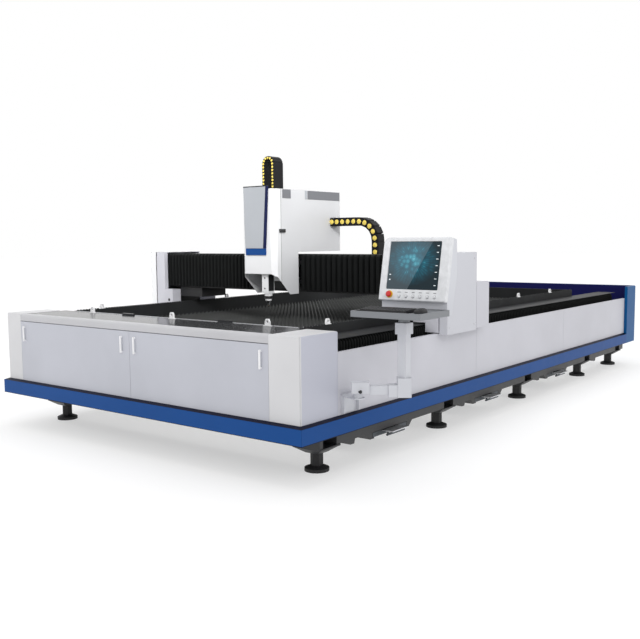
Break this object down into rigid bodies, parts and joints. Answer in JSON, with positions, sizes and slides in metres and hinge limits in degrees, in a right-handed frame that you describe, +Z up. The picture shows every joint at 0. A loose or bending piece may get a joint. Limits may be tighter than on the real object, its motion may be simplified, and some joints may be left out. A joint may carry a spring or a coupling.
{
  "type": "fiber laser cutting machine",
  "caption": "Flat-bed fibre laser cutting machine: white panelled bed with a slatted table, a travelling gantry, a laser carriage with lifting head, and an arm-mounted console.",
  "frame": {"origin": "on the floor under the middle of the whole machine, console included", "axes": "+X along the machine to its rear end, +Y to the side away from the operator, +Z up; the panelled front faces -X and the console stands at the -Y side"},
  "size_m": [5.8, 3.484, 2.0014],
  "materials": {
    "skirt_blue": "satin",
    "panel_white": "satin",
    "cover_white": "satin",
    "rail_grey": "satin",
    "frame_black": "satin",
    "foot_black": "matte",
    "bed_dark": "matte",
    "slat_steel": "raw",
    "guide_steel": "ground",
    "deck_grey": "gloss",
    "trim_silver": "satin",
    "latch_black": "matte",
    "handle_white": "satin",
    "bellows_black": "coated",
    "cap_grey": "satin",
    "chain_black": "matte",
    "head_white": "anodised",
    "nozzle_metal": "polished",
    "tray_steel": "raw",
    "arm_white": "satin",
    "console_grey": "satin",
    "bezel_white": "gloss",
    "screen_glass": "gloss",
    "key_black": "matte",
    "stop_red": "gloss",
    "ring_yellow": "gloss",
    "button_grey": "gloss"
  },
  "bodies": {
    "bed": {"frame_rail_near": "rail_grey", "frame_rail_far": "rail_grey", "frame_cross_members": "frame_black", "levelling_feet": "foot_black", "skirt_front": "skirt_blue", "skirt_near": "skirt_blue", "skirt_far": "skirt_blue", "rear_shell": "skirt_blue", "corner_covers": "cover_white", "front_panels": "panel_white", "panel_handles": "handle_white", "front_rim": "trim_silver", "front_deck": "deck_grey", "side_panels_near": "panel_white", "side_panels_far": "panel_white", "side_beams": "frame_black", "x_guides": "guide_steel", "x_bellows_front_near": "bellows_black", "x_bellows_rear_near": "bellows_black", "x_bellows_front_far": "bellows_black", "x_bellows_rear_far": "bellows_black", "bellows_caps": "cap_grey", "bed_frame": "bed_dark", "slat_grid": "slat_steel", "lifting_eyes": "guide_steel", "console_bracket": "arm_white"},
    "slag_tray_a": {"slag_tray_1": "tray_steel"},
    "slag_tray_b": {"slag_tray_2": "tray_steel"},
    "slag_tray_c": {"slag_tray_3": "tray_steel"},
    "gantry": {"gantry_beam": "frame_black", "y_guides": "guide_steel", "end_carriages": "frame_black", "end_housings": "panel_white", "end_covers": "panel_white", "beam_bellows_near": "bellows_black", "beam_bellows_far": "bellows_black", "y_chain": "chain_black"},
    "carriage": {"carriage_saddle": "frame_black", "carriage_cover": "cover_white", "z_chain": "chain_black"},
    "nose": {"nose_cover": "cover_white", "nose_panel": "trim_silver"},
    "latch": {"nose_latch": "latch_black"},
    "head": {"head_slide": "head_white", "cutting_nozzle": "nozzle_metal"},
    "arm": {"console_arm": "arm_white"},
    "console": {"console_tray": "console_grey", "console_housing": "console_grey", "console_bezel": "bezel_white", "console_screen": "screen_glass", "keyboard": "key_black", "mouse": "key_black", "e_stop_ring": "ring_yellow"},
    "stop_button": {"e_stop": "stop_red"},
    "button_1": {"push_button_1": "button_grey"},
    "button_2": {"push_button_2": "button_grey"},
    "button_3": {"push_button_3": "button_grey"},
    "button_4": {"push_button_4": "button_grey"},
    "button_5": {"push_button_5": "button_grey"},
    "button_6": {"push_button_6": "button_grey"}
  },
  "joints": [
    {"name": "gantry_travel", "type": "slide", "parent": "bed", "child": "gantry", "axis": [1, 0, 0], "range_m": [-0.85, 3.15], "deforming": ["x_bellows_front_near", "x_bellows_rear_near", "x_bellows_front_far", "x_bellows_rear_far"]},
    {"name": "carriage_travel", "type": "slide", "parent": "gantry", "child": "carriage", "axis": [0, 1, 0], "range_m": [-1, 1], "deforming": ["beam_bellows_near", "beam_bellows_far", "y_chain"]},
    {"name": "head_lift", "type": "slide", "parent": "carriage", "child": "head", "axis": [0, 0, 1], "range_m": [-0.1, 0.035], "deforming": ["z_chain"]},
    {"name": "nose_hinge", "type": "hinge", "parent": "carriage", "child": "nose", "pos_m": [-1.56, 0.407, 1.4], "axis": [0, 0, -1], "range_deg": [0, 100]},
    {"name": "latch_turn", "type": "hinge", "parent": "carriage", "child": "latch", "pos_m": [-1.571, 0.057, 1.446], "axis": [0, 1, 0], "range_deg": [0, 90]},
    {"name": "arm_swing", "type": "hinge", "parent": "bed", "child": "arm", "pos_m": [-2.509, -1.307, 0.5], "axis": [0, 0, -1], "range_deg": [0, 75]},
    {"name": "console_swivel", "type": "hinge", "parent": "arm", "child": "console", "pos_m": [-2.34647, -1.51503, 0.9], "axis": [0, 0, 1], "range_deg": [0, 90]},
    {"name": "slag_tray_a_pull", "type": "slide", "parent": "bed", "child": "slag_tray_a", "axis": [0, -1, 0], "range_m": [0, 0.6]},
    {"name": "slag_tray_b_pull", "type": "slide", "parent": "bed", "child": "slag_tray_b", "axis": [0, -1, 0], "range_m": [0, 0.6]},
    {"name": "slag_tray_c_pull", "type": "slide", "parent": "bed", "child": "slag_tray_c", "axis": [0, -1, 0], "range_m": [0, 0.6]},
    {"name": "e_stop_press", "type": "slide", "parent": "console", "child": "stop_button", "axis": [0.9817, 0, -0.1904], "range_m": [0, 0.005], "stiffness_N_per_m": 600},
    {"name": "button_1_press", "type": "slide", "parent": "console", "child": "button_1", "axis": [0.9817, 0, -0.1904], "range_m": [0, 0.003], "stiffness_N_per_m": 400},
    {"name": "button_2_press", "type": "slide", "parent": "console", "child": "button_2", "axis": [0.9817, 0, -0.1904], "range_m": [0, 0.003], "stiffness_N_per_m": 400},
    {"name": "button_3_press", "type": "slide", "parent": "console", "child": "button_3", "axis": [0.9817, 0, -0.1904], "range_m": [0, 0.003], "stiffness_N_per_m": 400},
    {"name": "button_4_press", "type": "slide", "parent": "console", "child": "button_4", "axis": [0.9817, 0, -0.1904], "range_m": [0, 0.003], "stiffness_N_per_m": 400},
    {"name": "button_5_press", "type": "slide", "parent": "console", "child": "button_5", "axis": [0.9817, 0, -0.1904], "range_m": [0, 0.003], "stiffness_N_per_m": 400},
    {"name": "button_6_press", "type": "slide", "parent": "console", "child": "button_6", "axis": [0.9817, 0, -0.1904], "range_m": [0, 0.003], "stiffness_N_per_m": 400}
  ]
}
